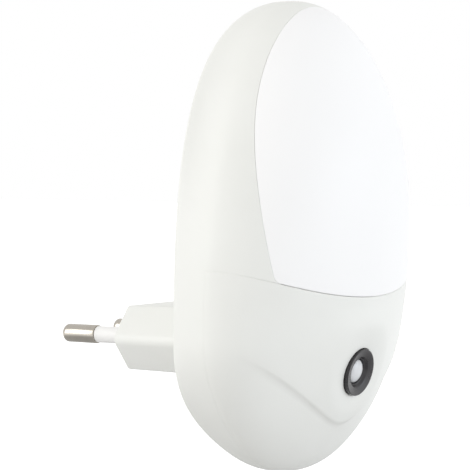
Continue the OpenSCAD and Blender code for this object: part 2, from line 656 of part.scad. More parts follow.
module plate(w, h, r, t) {
    for (part = [[w, h - 2 * r], [w - 2 * r, h]]) linear_extrude(t) square(part, center = true);
    for (x = [-1, 1], y = [-1, 1]) translate([x * (w / 2 - r), y * (h / 2 - r)]) cylinder(r = r, h = t);
}

module driver_board() color(board_green) ahead_of(board_back_y) difference() {
    translate([0, board_z]) plate(board_w, board_h, board_r, board_t);
    for (p = board_screws_at) translate([p[0], p[1], -clear])
        cylinder(d = small_bore_d, h = board_t + 2 * clear);
}

// Components stand on the driver board's front, with X and Z as seen from the front
module on_board(at) ahead_of(board_front_y) translate([at[0], at[1], 0]) children();
module lying_along_x(d) translate([0, 0, d / 2]) rotate([0, 90, 0]) children();

module film_capacitor() color([0.78, 0.58, 0.12]) on_board(film_cap_at) difference() {
    translate([0, 0, film_cap[2] / 2]) cube(film_cap, center = true);
    for (x = [-1, 1], y = [-1, 1]) translate([x * film_cap[0] / 2, y * film_cap[1] / 2, 0])
        rotate(45) cube([cap_chamfer, cap_chamfer, 3 * film_cap[2]], center = true);
}

module smoothing_capacitor() color([0.12, 0.14, 0.20]) on_board(can_at) lying_along_x(can_d)
    translate([0, 0, -can_len / 2]) rotate_extrude() polygon([[0, 0], [can_d / 2 - crimp, 0],
        [can_d / 2, crimp], [can_d / 2, 2 * crimp], [can_d / 2 - crimp, 3 * crimp], [can_d / 2, 4 * crimp],
        [can_d / 2, can_len - crimp], [can_d / 2 - crimp, can_len], [0, can_len]]);

module bridge_rectifier() color([0.10, 0.10, 0.11]) on_board(bridge_at) {
    translate([0, 0, bridge[2] / 2]) cube(bridge, center = true);
    for (x = [-1, 1], y = [-1, 1]) translate([x * bridge[0] / 4, y * bridge[1] / 2, bridge[2] / 4])
        cube([2 * leg_d, 2 * leg_d, bridge[2] / 2], center = true);
}

// A wired resistor: a body with thicker ends, lying on the board between two bent legs
module wired_resistor(body, d, span) {
    lying_along_x(d) translate([0, 0, -body / 2]) rotate_extrude() polygon([[0, 0], [d / 2 - leg_d / 2, 0],
        [d / 2, leg_d / 2], [d / 2, 2 * leg_d], [d / 2 - leg_d / 4, 2.5 * leg_d],
        [d / 2 - leg_d / 4, body - 2.5 * leg_d], [d / 2, body - 2 * leg_d], [d / 2, body - leg_d / 2],
        [d / 2 - leg_d / 2, body], [0, body]]);
    both_sides() {
        translate([body / 2 - leg_d, 0, d / 2]) rotate([0, 90, 0])
            cylinder(d = leg_d, h = (span - body) / 2);
        translate([(span - leg_d) / 2 - leg_d / 2, 0, 0]) cylinder(d = leg_d, h = d / 2 + leg_d / 4);
    }
}
module fusible_resistor() color([0.35, 0.52, 0.50]) on_board(fuse_at)
    wired_resistor(fuse_len, fuse_d, fuse_len + leg_reach);
module carbon_resistors() color([0.76, 0.62, 0.42]) for (p = resistors_at) on_board(p)
    wired_resistor(resistor_len, resistor_d, resistor_len + leg_reach);

module transistor() color([0.11, 0.11, 0.12]) on_board(transistor_at) {
    translate([0, 0, transistor_stand]) intersection() {
        cylinder(d = transistor_d, h = transistor_d);
        translate([-transistor_d, -0.3 * transistor_d, 0]) cube(2 * transistor_d);
    }
    for (k = [-1:1]) translate([k * leg_pitch, 0, 0]) cylinder(d = leg_d, h = transistor_stand + leg_d);
}

module light_board() color([0.92, 0.92, 0.90]) ahead_of(light_back_y) difference() {
    translate([0, light_z]) plate(light_w, light_h, board_r, board_t);
    for (p = light_screws_at) translate([p[0], p[1], -clear])
        cylinder(d = small_bore_d, h = board_t + 2 * clear);
}

module leds() color([0.95, 0.85, 0.40]) ahead_of(light_front_y) for (p = leds_at)
    translate([p[0], p[1], led[2] / 2]) cube(led, center = true);

module reflector() color(opal_white) ahead_of(light_front_y) difference() {
    translate([0, light_z]) rotate_extrude() polygon([[0, 0], [reflector_floor_r, 0],
        [reflector_r, reflector_depth], [reflector_r - reflector_wall, reflector_depth],
        [reflector_floor_r - reflector_wall, reflector_wall], [0, reflector_wall]]);
    for (p = leds_at) translate([p[0], p[1], -clear])
        cylinder(d = norm([led[0], led[1]]) + 4 * clear, h = reflector_wall + 2 * clear);
    for (p = light_screws_at) translate([p[0], p[1], -clear])
        cylinder(d = small_bore_d, h = reflector_wall + 2 * clear);
}

// Each link wire leaves the driver board, runs up between the boards and ends on the light board
link_low = board_z + board_h / 2 - link_edge;
link_high = light_z - light_h / 2 + link_edge;
link_mid = (board_front_y - light_back_y) / 2;
module link_wires() color([0.80, 0.14, 0.12]) ahead_of(board_front_y) both_sides()
    translate([link_pitch / 2, 0]) {
        translate([0, link_low, 0]) cylinder(d = link_d, h = link_mid);
        translate([0, link_high, link_mid]) cylinder(d = link_d, h = link_mid);
        translate([0, link_low - link_d / 2, link_mid]) rotate([-90, 0, 0])
            cylinder(d = link_d, h = link_high - link_low + link_d);
    }

module screw(head_d, head_h, shank_d, shank) {
    cylinder(d = shank_d, h = shank);
    translate([0, 0, -head_h]) cylinder(d = head_d, h = head_h);
}

module cover_screws() color(steel) both_sides() translate([cover_screw_x, 0, cover_screw_z])
    ahead_of(sink_y) screw(cover_head_d, cover_head_h, cover_shank_d, cover_shank);

module board_screws() color(steel) for (p = board_screws_at) translate([p[0], 0, p[1]])
    behind(board_front_y) screw(small_head_d, small_head_h, small_shank_d, board_t + small_bite);

module light_screws() color(steel) for (p = light_screws_at) translate([p[0], 0, p[1]])
    behind(reflector_floor_y) screw(small_head_d, small_head_h, small_shank_d,
        reflector_wall + board_t + small_bite);

rear_housing();
sensor_cover();
diffuser();
sensor_bezel();
bezel_retainer();
sensor_lens();
photocell();
live_pin();
neutral_pin();
live_pin_sleeve();
neutral_pin_sleeve();
pin_plate();
live_lead();
neutral_lead();
driver_board();
film_capacitor();
smoothing_capacitor();
bridge_rectifier();
fusible_resistor();
carbon_resistors();
transistor();
light_board();
leds();
reflector();
link_wires();
cover_screws();
board_screws();
light_screws();
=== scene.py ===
import math

import bpy
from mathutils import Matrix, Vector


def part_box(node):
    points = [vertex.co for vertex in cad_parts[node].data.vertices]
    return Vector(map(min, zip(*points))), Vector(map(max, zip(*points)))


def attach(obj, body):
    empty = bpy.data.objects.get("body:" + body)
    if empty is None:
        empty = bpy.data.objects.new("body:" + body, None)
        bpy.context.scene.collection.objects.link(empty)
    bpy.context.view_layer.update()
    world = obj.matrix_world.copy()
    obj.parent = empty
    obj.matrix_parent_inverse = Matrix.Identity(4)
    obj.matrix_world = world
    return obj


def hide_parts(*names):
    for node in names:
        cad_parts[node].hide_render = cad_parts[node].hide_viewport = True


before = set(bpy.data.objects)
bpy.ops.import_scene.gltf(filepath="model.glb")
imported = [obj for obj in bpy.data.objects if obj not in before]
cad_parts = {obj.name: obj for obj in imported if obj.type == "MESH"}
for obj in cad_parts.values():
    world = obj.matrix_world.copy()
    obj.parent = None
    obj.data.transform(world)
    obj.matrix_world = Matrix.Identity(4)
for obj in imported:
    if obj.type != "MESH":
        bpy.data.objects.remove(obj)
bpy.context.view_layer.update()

# Camera
# The photograph was taken from the left front, a little above the middle of the light, with a long
# lens on a square frame.
bpy.ops.object.select_all(action="DESELECT")
bpy.ops.object.camera_add(location=(-0.4327, -0.3057, 0.0425),
                          rotation=(math.radians(87.73), 0, math.radians(-56.5)))
camera = bpy.context.object
camera.data.sensor_width = 36
camera.data.lens = 186.1
camera.data.clip_start = 0.01
bpy.context.scene.camera = camera

# Rear housing
# The back of the light is one white moulding: a shallow dish, the rim that runs up beside the
# diffuser and the flat plug that stands out of the back. It is moulded in one shot with a satin face.

# Sizes of pieces are in millimetres and become metres where a mesh is placed. Places that lie within
# TOUCH of each other count as one.
PART_Y = -34.2
BACK_Y = -26.5
WALL = 1.6
TOUCH = 0.001

# The egg's outline from the front is widest at WIDEST_Z, with one power for its top and one below.
HALF_WIDTH = 34
WIDEST_Z = 1.5
TOP_RISE = 69.8
TOP_POWER = 2.15
CHIN_DROP = 28.9
CHIN_POWER = 1.8
CHIN_FULLNESS = 0.3
FULLNESS_POWER = 6
TOP_Z = WIDEST_Z + TOP_RISE
CHIN_Z = WIDEST_Z - CHIN_DROP

# Its front stands furthest out at BULGE_Z, and its cross-sections grow pointed towards the chin.
BULGE = 21.3
BULGE_Z = 31
BROW_POWER = 2
JAW_POWER = 1.85
SECTION_POWER = 2
SECTION_LOSS = 0.3
LOSS_POWER = 1.5


def arch(t, power):
    return max(0, 1 - t ** power) ** (1 / power)


def chin_arch(t, power):
    return arch(t, power + CHIN_FULLNESS * t ** FULLNESS_POWER)


def half_width(z):
    if z > WIDEST_Z:
        return HALF_WIDTH * arch((z - WIDEST_Z) / TOP_RISE, TOP_POWER)
    return HALF_WIDTH * chin_arch((WIDEST_Z - z) / CHIN_DROP, CHIN_POWER)


def bulge(z):
    if z > BULGE_Z:
        return BULGE * arch((z - BULGE_Z) / (TOP_Z - BULGE_Z), BROW_POWER)
    return BULGE * arch((BULGE_Z - z) / (BULGE_Z - CHIN_Z), JAW_POWER)


def section(z):
    return SECTION_POWER - SECTION_LOSS * max(0, (BULGE_Z - z) / (BULGE_Z - CHIN_Z)) ** LOSS_POWER


def on_skin(x, z):
    share = min(1, abs(x) / max(half_width(z), 1e-6))
    return x, PART_Y - bulge(z) * arch(share, section(z)), z


def signed_power(value, power):
    return math.copysign(abs(value) ** power, value)


def outline(angle, side=0, top=0, bottom=0, square=0):
    if math.sin(angle) > 0:
        power, reach, shape = TOP_POWER + square, TOP_RISE - top, arch
    else:
        power, reach, shape = CHIN_POWER + square, CHIN_DROP - bottom, chin_arch
    rise = abs(math.sin(angle)) ** (2 / power)
    return (math.copysign((HALF_WIDTH - side) * shape(rise, power), math.cos(angle)),
            WIDEST_Z + math.copysign(reach * rise, math.sin(angle)))


# The seam under the diffuser is a shallow bow, and the diffuser's other edge is an oval.
SEAM_Z = 10
SEAM_SPREAD = 180
OVAL_HALF_WIDTH = 28.2
OVAL_HALF_HEIGHT = 41.5
OVAL_Z = 28.5
SEAM_NEAR = 0.06
PART_NEAR = 0.04


def seam(x):
    return SEAM_Z + x * x / SEAM_SPREAD


def oval(angle):
    return OVAL_HALF_WIDTH * math.cos(angle), OVAL_Z + OVAL_HALF_HEIGHT * math.sin(angle)


def lay_sheet(name, columns, rows, place):
    bpy.ops.object.select_all(action="DESELECT")
    bpy.ops.mesh.primitive_grid_add(x_subdivisions=columns, y_subdivisions=rows, size=2)
    sheet = bpy.context.object
    sheet.name = name
    for v in sheet.data.vertices:
        column, row = round((v.co.x + 1) / 2 * columns), round((v.co.y + 1) / 2 * rows)
        v.co = [mm / 1000 for mm in place(column, row)]
    return sheet


def hold(piece):
    bpy.ops.object.select_all(action="DESELECT")
    piece.select_set(True)
    bpy.context.view_layer.objects.active = piece


def join_pieces(name, pieces):
    hold(pieces[0])
    for piece in pieces[1:]:
        piece.select_set(True)
    bpy.ops.object.join()
    pieces[0].name = name
    return pieces[0]


def pick(piece, kind, wanted):
    if bpy.context.mode != "OBJECT":
        bpy.ops.object.mode_set(mode="OBJECT")
    hold(piece)
    bpy.ops.object.mode_set(mode="EDIT")
    bpy.ops.mesh.select_mode(type=kind)
    bpy.ops.mesh.select_all(action="DESELECT")
    bpy.ops.object.mode_set(mode="OBJECT")
    mesh = piece.data
    if kind == "EDGE":
        for edge in mesh.edges:
            edge.select = wanted([mesh.vertices[k].co * 1000 for k in edge.vertices])
    elif kind == "VERT":
        for vertex in mesh.vertices:
            vertex.select = wanted(vertex.co * 1000)
    else:
        for face in mesh.polygons:
            face.select = wanted(face.center * 1000)
    bpy.ops.object.mode_set(mode="EDIT")


def weld(piece):
    pick(piece, "VERT", lambda p: True)
    bpy.ops.mesh.remove_doubles(threshold=0.000002)
    bpy.ops.mesh.normals_make_consistent(inside=False)
    bpy.ops.object.mode_set(mode="OBJECT")


def give_wall(piece, wall, roundings):
    # The open edges are noted before the wall gets its thickness, so that only their outer side is
    # rounded afterwards.
    uses = {}
    for face in piece.data.polygons:
        for key in face.edge_keys:
            uses[key] = uses.get(key, 0) + 1
    open_edges = [key for key, count in uses.items() if count == 1]
    points = [v.co * 1000 for v in piece.data.vertices]
    sorted_edges = [set() for _ in roundings]
    for key in open_edges:
        middle = (points[key[0]] + points[key[1]]) / 2
        for (_, wanted), edges in zip(roundings, sorted_edges):
            if wanted(middle):
                edges.add(tuple(tuple(points[n]) for n in key))
                break
    thick = piece.modifiers.new("wall", "SOLIDIFY")
    thick.thickness = wall / 1000
    thick.offset = -1
    thick.use_even_offset = True
    bpy.ops.object.modifier_apply(modifier=thick.name)
    for (size, _), edges in zip(roundings, sorted_edges):
        pick(piece, "EDGE", lambda ends: tuple(tuple(p) for p in ends) in edges
             or tuple(tuple(p) for p in reversed(ends)) in edges)
        bpy.ops.mesh.bevel(offset=size / 1000, segments=3, affect="EDGES")
    bpy.ops.object.mode_set(mode="OBJECT")


def on_seam(p):
    return p.y < PART_Y + TOUCH and abs(p.z - seam(p.x)) < SEAM_NEAR


def on_parting(p):
    return abs(p.y - PART_Y) < PART_NEAR


# The opening for the diffuser runs up from the seam, round its lower corner, over the top and down.
# The corner lies where the oval meets the seam: a quadratic in the sine of the oval's angle.
CORNER_ROUND = 1.3
CORNER_STEPS = 8
OVAL_STEPS = 120
CHIN_STEPS = 110
bow = OVAL_HALF_WIDTH ** 2 / SEAM_SPREAD
drop = OVAL_Z - SEAM_Z - bow
corner = math.asin((math.sqrt(OVAL_HALF_HEIGHT ** 2 - 4 * bow * drop) - OVAL_HALF_HEIGHT) / (2 * bow))
oval_start = corner + CORNER_ROUND / OVAL_HALF_HEIGHT
corner_point = oval(corner)
corner_low = (corner_point[0] - CORNER_ROUND, seam(corner_point[0] - CORNER_ROUND))


def corner_bend(s):
    return tuple(low * (1 - s) ** 2 + point * 2 * s * (1 - s) + high * s * s
                 for low, point, high in zip(corner_low, corner_point, oval(oval_start)))


corner_turn = [corner_bend(n / CORNER_STEPS) for n in range(CORNER_STEPS)]
opening = corner_turn + [oval(oval_start + (math.pi - 2 * oval_start) * n / OVAL_STEPS)
                         for n in range(OVAL_STEPS + 1)]
opening += [(-x, z) for x, z in reversed(corner_turn)]

# Each point of the opening is paired with a point of the outline, from where the seam reaches it.
side_z = SEAM_Z
for _ in range(12):
    side_z = seam(half_width(side_z))
oval_top = OVAL_Z + OVAL_HALF_HEIGHT
loop_angles = []
for x, z in opening:
    height = side_z + (TOP_Z - side_z) * (z - corner_low[1]) / (oval_top - corner_low[1])
    angle = math.asin(min(1, ((height - WIDEST_Z) / TOP_RISE) ** (TOP_POWER / 2)))
    loop_angles.append(angle if x > 0 else math.pi - angle)
side_angle = loop_angles[0]
loop_angles += [math.pi - side_angle + (math.pi + 2 * side_angle) * n / CHIN_STEPS
                for n in range(1, CHIN_STEPS)]

# The dish closes in towards the flat back, the least at its sides, and its outline grows squarer.
DISH_ROWS = 14
DISH_POWER = 3
UNDERSIDE_POWER = 1.6
SIDE_INSET = 0.9
TOP_INSET = 6.4
CHIN_INSET = 7.5
SQUARENESS = 0.6
SQUARE_EASE = 0.6
RIM_ROWS = 22


def dish_point(column, row):
    turn = math.pi / 2 * row / DISH_ROWS
    ahead, rise = max(0, math.cos(turn)), math.sin(turn) ** (2 / DISH_POWER)
    sink = 1 - ahead ** (2 / DISH_POWER)
    square = SQUARENESS * sink * (1 + SQUARE_EASE * (1 - sink))
    angle = loop_angles[column % len(loop_angles)]
    low = max(0, -math.sin(angle))
    lift = low * (1 - ahead ** (2 / UNDERSIDE_POWER)) + (1 - low) * sink
    x, z = outline(angle, SIDE_INSET * sink, TOP_INSET * sink, CHIN_INSET * lift, square)
    return x, PART_Y + (BACK_Y - PART_Y) * rise, z


def rim_point(column, row):
    share = (row / RIM_ROWS) ** 2
    x, z = outline(loop_angles[column])
    if row == 0:
        return x, PART_Y, z
    x += (opening[column][0] - x) * share
    z += (opening[column][1] - z) * share
    return on_skin(x, seam(x) if column in (0, len(opening) - 1) else z)


dish = lay_sheet("dish", len(loop_angles), DISH_ROWS, dish_point)
rim = lay_sheet("rim", len(opening) - 1, RIM_ROWS, rim_point)

# The plug is a flat hexagon with two rounded side corners, drawn out with a little draft.
PLUG_HALF_WIDTH = 17.65
PLUG_HALF_HEIGHT = 6.85
PLUG_CORNER_X = 12.6
PLUG_POINT_X = 18.27
PLUG_POINT_ROUND = 1.55
PLUG_CORNER_ROUND = 0.5
PLUG_FACE_ROUND = 0.5
PLUG_DRAFT = 0.3
PIN_X = 9.3
PIN_HOLE_RADIUS = 1.95
PIN_HOLE_DEPTH = 3


def wire_ring(sides, radius, x=0, y=0, z=0):
    bpy.ops.object.select_all(action="DESELECT")
    bpy.ops.mesh.primitive_circle_add(vertices=sides, radius=radius / 1000, fill_type="NOTHING",
                                      location=(x / 1000, y / 1000, z / 1000),
                                      rotation=(math.pi / 2, 0, 0))
    bpy.ops.object.transform_apply(location=True, rotation=True, scale=True)
    return bpy.context.object


def draw_out(move, grow=(1, 1, 1), centre=(0, 0, 0)):
    bpy.ops.mesh.extrude_edges_move(TRANSFORM_OT_translate={"value": [mm / 1000 for mm in move]})
    bpy.ops.transform.resize(value=grow, center_override=[mm / 1000 for mm in centre])


plug = wire_ring(6, PLUG_HALF_HEIGHT)
hexagon = [(side * PLUG_CORNER_X, end * PLUG_HALF_HEIGHT) for side in (-1, 1) for end in (-1, 1)]
hexagon += [(side * PLUG_POINT_X, 0) for side in (-1, 1)]
hexagon.sort(key=lambda p: math.atan2(p[1], p[0]))
for v, (x, z) in zip(sorted(plug.data.vertices, key=lambda v: math.atan2(v.co.z, v.co.x)), hexagon):
    v.co = (x * (1 - PLUG_FACE_ROUND / PLUG_HALF_WIDTH) / 1000, 0,
            z * (1 - PLUG_FACE_ROUND / PLUG_HALF_HEIGHT) / 1000)
pick(plug, "EDGE", lambda ends: True)
face_turns = [math.radians(angle) for angle in (0, 22.5, 45, 67.5, 90)]
plug_rows = [(PLUG_FACE_ROUND * (1 - math.cos(a)), PLUG_FACE_ROUND * (1 - math.sin(a)))
             for a in face_turns] + [(-BACK_Y, -PLUG_DRAFT)]
for (run, inset), (next_run, next_inset) in zip(plug_rows, plug_rows[1:]):
    grow = ((PLUG_HALF_WIDTH - next_inset) / (PLUG_HALF_WIDTH - inset), 1,
            (PLUG_HALF_HEIGHT - next_inset) / (PLUG_HALF_HEIGHT - inset))
    draw_out((0, run - next_run, 0), grow, (0, -next_run, 0))
pick(plug, "EDGE", lambda e: abs(e[0].y - e[1].y) > TOUCH and abs(e[0].z) < TOUCH)
bpy.ops.mesh.bevel(offset=PLUG_POINT_ROUND / 1000, segments=8, affect="EDGES")
pick(plug, "EDGE", lambda e: abs(e[0].y - e[1].y) > TOUCH and abs(e[0].z) > PLUG_HALF_HEIGHT / 2)
bpy.ops.mesh.bevel(offset=PLUG_CORNER_ROUND / 1000, segments=4, affect="EDGES")
bpy.ops.object.mode_set(mode="OBJECT")
pieces = [plug]
for side in (-1, 1):
    pin_hole = wire_ring(40, PIN_HOLE_RADIUS, side * PIN_X)
    pick(pin_hole, "EDGE", lambda ends: True)
    draw_out((0, -PIN_HOLE_DEPTH, 0))
    bpy.ops.object.mode_set(mode="OBJECT")
    pieces.append(pin_hole)
plug = join_pieces("plug", pieces)
pick(plug, "EDGE", lambda e: abs(e[0].y) < TOUCH and abs(e[1].y) < TOUCH)
bpy.ops.mesh.fill(use_beauty=True)
bpy.ops.object.mode_set(mode="OBJECT")

# Two sunk holes in the flat back take the screws of the front cover.
SCREW_X = 24
SCREW_Z = -8
HEAD_HOLE_MOUTH = 2.7
HEAD_HOLE_RADIUS = 2.5
SHANK_HOLE_RADIUS = 1.35
MOUTH_DEPTH = 0.2
HEAD_HOLE_DEPTH = 4
pieces = [dish, rim, plug]
for side in (-1, 1):
    screw_hole = wire_ring(48, HEAD_HOLE_MOUTH, side * SCREW_X, BACK_Y, SCREW_Z)
    pick(screw_hole, "EDGE", lambda ends: True)
    radius = HEAD_HOLE_MOUTH
    for depth, next_radius in ((MOUTH_DEPTH, HEAD_HOLE_RADIUS), (HEAD_HOLE_DEPTH, HEAD_HOLE_RADIUS),
                               (0, SHANK_HOLE_RADIUS), (WALL, SHANK_HOLE_RADIUS)):
        grow = next_radius / radius
        draw_out((0, -depth, 0), (grow, 1, grow), (side * SCREW_X, 0, SCREW_Z))
        radius = next_radius
    bpy.ops.object.mode_set(mode="OBJECT")
    pieces.append(screw_hole)
rear = join_pieces("rear_moulding", pieces)
weld(rear)
pick(rear, "EDGE", lambda e: abs(e[0].y - BACK_Y) < TOUCH and abs(e[1].y - BACK_Y) < TOUCH)
bpy.ops.mesh.fill(use_beauty=True)
weld(rear)

# A narrow ring inside the edge of the flat back keeps its shading flat.
BACK_BORDER = 0.5
pick(rear, "FACE", lambda p: abs(p.y - BACK_Y) < TOUCH)
bpy.ops.mesh.inset(thickness=BACK_BORDER / 1000, use_boundary=True, use_even_offset=True)
bpy.ops.object.mode_set(mode="OBJECT")
EDGE_ROUND = 0.05
CLOSE_ROUND = 0.04
SHARP_ANGLE = math.radians(32)
give_wall(rear, WALL, [(CLOSE_ROUND, on_seam), (EDGE_ROUND, lambda p: p.y < PART_Y - EDGE_ROUND)])
bpy.ops.object.shade_smooth_by_angle(angle=SHARP_ANGLE)


def mottled(name, low, high, grain, roughness, bump, metallic=0.0, bump_grain=None):
    material = bpy.data.materials.new(name)
    material.use_nodes = True
    nodes, links = material.node_tree.nodes, material.node_tree.links
    shader = nodes["Principled BSDF"]
    shader.inputs["Metallic"].default_value = metallic
    place = nodes.new("ShaderNodeTexCoord")
    cloud = nodes.new("ShaderNodeTexNoise")
    cloud.inputs["Scale"].default_value = grain
    cloud.inputs["Detail"].default_value = 4
    links.new(place.outputs["Object"], cloud.inputs["Vector"])
    tint = nodes.new("ShaderNodeValToRGB")
    for stop, position, colour in zip(tint.color_ramp.elements, (0.3, 0.7), (low, high)):
        stop.position = position
        stop.color = (*colour, 1)
    links.new(cloud.outputs["Fac"], tint.inputs["Fac"])
    links.new(tint.outputs["Color"], shader.inputs["Base Color"])
    polish = nodes.new("ShaderNodeMapRange")
    polish.inputs["To Min"].default_value, polish.inputs["To Max"].default_value = roughness
    links.new(cloud.outputs["Fac"], polish.inputs["Value"])
    links.new(polish.outputs["Result"], shader.inputs["Roughness"])
    pores = nodes.new("ShaderNodeTexNoise")
    pores.inputs["Scale"].default_value = bump_grain or grain * 8
    pores.inputs["Detail"].default_value = 2
    links.new(place.outputs["Object"], pores.inputs["Vector"])
    relief = nodes.new("ShaderNodeBump")
    relief.inputs["Strength"].default_value = bump
    relief.inputs["Distance"].default_value = 0.0001
    links.new(pores.outputs["Fac"], relief.inputs["Height"])
    links.new(relief.outputs["Normal"], shader.inputs["Normal"])
    return material


def dress(piece, material, slot, *nodes):
    piece.data.materials.clear()
    piece.data.materials.append(material)
    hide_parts(*nodes)
    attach(piece, "root")


casing_white = mottled("casing_white", low=(0.824, 0.826, 0.786), high=(0.848, 0.850, 0.812),
                       grain=60, roughness=(0.36, 0.46), bump=0.12, bump_grain=2600)
dress(rear, casing_white, "casing_white", "rear_housing")

# Pins and sleeves
# Each pin is a solid brass rod, turned with a rounded end and a collar and nickel plated. Its inner
# half is slimmer and carries a white moulded sleeve, so that no bare metal can be touched when the
# plug is half out.
PIN_RADIUS = 2
PIN_LENGTH = 19
PIN_TIP_ROUND = 1.2
PIN_STEP_ROUND = 0.15
PIN_WAIST_RADIUS = 1.4
COLLAR_RADIUS = 2.8
COLLAR_ROUND = 0.1
COLLAR_BACK = -4.2
COLLAR_FRONT = -3
TAIL_RADIUS = 1.1
TAIL_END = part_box("live_pin")[0].y * 1000
SLEEVE_RADIUS = 1.8
SLEEVE_ROUND = 0.15
SLEEVE_GAP = 0.02
SLEEVE_STOP = 10.2


def turned(name, sides, profile):
    bpy.ops.object.select_all(action="DESELECT")
    bpy.ops.mesh.primitive_circle_add(vertices=sides, radius=profile[0][0] / 1000,
                                      fill_type="NOTHING", location=(0, 0, profile[0][1] / 1000))
    piece = bpy.context.object
    piece.name = name
    bpy.ops.object.transform_apply(location=True, rotation=True, scale=True)
    pick(piece, "EDGE", lambda ends: True)
    for (radius, height), (next_radius, next_height) in zip(profile, profile[1:]):
        grow = next_radius / radius
        draw_out((0, 0, next_height - height), (grow, grow, 1), (0, 0, next_height))
    bpy.ops.mesh.select_all(action="SELECT")
    bpy.ops.mesh.remove_doubles(threshold=0.000001)
    bpy.ops.mesh.fill_holes(sides=0)
    bpy.ops.mesh.select_all(action="SELECT")
    bpy.ops.mesh.normals_make_consistent(inside=False)
    bpy.ops.object.mode_set(mode="OBJECT")
    return piece


def stand(piece, location, rotation):
    hold(piece)
    piece.location = [mm / 1000 for mm in location]
    piece.rotation_euler = rotation
    bpy.ops.object.transform_apply(location=True, rotation=True, scale=True)
    bpy.ops.object.shade_smooth_by_angle(angle=SHARP_ANGLE)


def rounded(radius, height, size, start, end, steps):
    angles = [math.radians(start + (end - start) * n / steps) for n in range(steps + 1)]
    return [(radius + size * math.cos(a), height + size * math.sin(a)) for a in angles]


collar = [(COLLAR_RADIUS - COLLAR_ROUND, COLLAR_BACK), (COLLAR_RADIUS, COLLAR_BACK + COLLAR_ROUND),
          (COLLAR_RADIUS, COLLAR_FRONT - COLLAR_ROUND), (COLLAR_RADIUS - COLLAR_ROUND, COLLAR_FRONT)]
pin_profile = [(TAIL_RADIUS, TAIL_END), (TAIL_RADIUS, COLLAR_BACK)] + collar
pin_profile += [(PIN_WAIST_RADIUS, COLLAR_FRONT), (PIN_WAIST_RADIUS, SLEEVE_STOP)]
pin_profile += rounded(PIN_RADIUS - PIN_STEP_ROUND, SLEEVE_STOP + PIN_STEP_ROUND, PIN_STEP_ROUND,
                       -90, 0, 3)
pin_profile += rounded(PIN_RADIUS - PIN_TIP_ROUND, PIN_LENGTH - PIN_TIP_ROUND, PIN_TIP_ROUND, 0, 90, 8)
sleeve_bore = PIN_WAIST_RADIUS + SLEEVE_GAP
sleeve_end = SLEEVE_STOP - SLEEVE_GAP
sleeve_profile = [(sleeve_bore, sleeve_end), (sleeve_bore, COLLAR_FRONT), (SLEEVE_RADIUS, COLLAR_FRONT)]
sleeve_profile += rounded(SLEEVE_RADIUS - SLEEVE_ROUND, sleeve_end - SLEEVE_ROUND, SLEEVE_ROUND,
                          0, 90, 4)
sleeve_profile += [(sleeve_bore, sleeve_end)]
nickel_pin = mottled("nickel_pin", low=(0.42, 0.39, 0.345), high=(0.48, 0.45, 0.40), grain=300,
                     roughness=(0.14, 0.22), bump=0.04, metallic=1.0, bump_grain=1500)
sleeve_white = mottled("sleeve_white", low=(0.86, 0.85, 0.83), high=(0.89, 0.88, 0.86), grain=120,
                       roughness=(0.3, 0.4), bump=0.08)
for name, x in (("live", -PIN_X), ("neutral", PIN_X)):
    pin = turned(name + "_pin_turned", 64, pin_profile)
    stand(pin, (x, 0, 0), (-math.pi / 2, 0, 0))
    dress(pin, nickel_pin, "nickel_pin", name + "_pin")
    sleeve = turned(name + "_sleeve_moulded", 64, sleeve_profile)
    stand(sleeve, (x, 0, 0), (-math.pi / 2, 0, 0))
    dress(sleeve, sleeve_white, "sleeve_white", name + "_pin_sleeve")

# Pin plate
# Inside the plug a small moulded plate drops over the pins' tails and holds their collars. It is the
# same white plastic as the casing and is pressed into the plug from inside.


def paint(material, *names):
    for name in names:
        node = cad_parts[name]
        if not node.material_slots:
            node.data.materials.append(material)
        for slot in node.material_slots:
            slot.material = material


paint(casing_white, "pin_plate")

# Leads
# Two short stranded leads join the pins to the driver board, soldered at both ends. Their soft plastic
# jackets are brown for live and blue for neutral.
lead_brown = mottled("lead_brown", low=(0.20, 0.09, 0.04), high=(0.25, 0.12, 0.06), grain=300,
                     roughness=(0.4, 0.5), bump=0.1)
paint(lead_brown, "live_lead")
lead_blue = mottled("lead_blue", low=(0.05, 0.16, 0.50), high=(0.07, 0.20, 0.58), grain=300,
                    roughness=(0.4, 0.5), bump=0.1)
paint(lead_blue, "neutral_lead")

# Driver board
# The supply sits on a small board of glass and resin under a green lacquer, through which its copper
# tracks show paler. It lies across the lower half of the housing on two moulded posts.
TRACK_PITCH = 3.2
STRIPE_EDGE = 0.1


def stripes(material, axis, pitch, width):
    # A wave texture at scale 1 repeats every pi / 10 metres.
    nodes, links = material.node_tree.nodes, material.node_tree.links
    place = nodes.new("ShaderNodeTexCoord")
    wave = nodes.new("ShaderNodeTexWave")
    wave.bands_direction = axis
    wave.inputs["Scale"].default_value = math.pi / 10 / (pitch / 1000)
    links.new(place.outputs["Object"], wave.inputs["Vector"])
    band = nodes.new("ShaderNodeMapRange")
    band.interpolation_type = "SMOOTHSTEP"
    band.inputs["From Min"].default_value = width
    band.inputs["From Max"].default_value = width + STRIPE_EDGE
    links.new(wave.outputs["Fac"], band.inputs["Value"])
    return band.outputs["Result"]


def beyond(material, axis, limit):
    nodes, links = material.node_tree.nodes, material.node_tree.links
    place = nodes.new("ShaderNodeTexCoord")
    parts = nodes.new("ShaderNodeSeparateXYZ")
    links.new(place.outputs["Object"], parts.inputs[0])
    side = nodes.new("ShaderNodeMath")
    side.operation = "GREATER_THAN"
    side.inputs[1].default_value = limit
    links.new(parts.outputs[axis], side.inputs[0])
    return side.outputs[0]


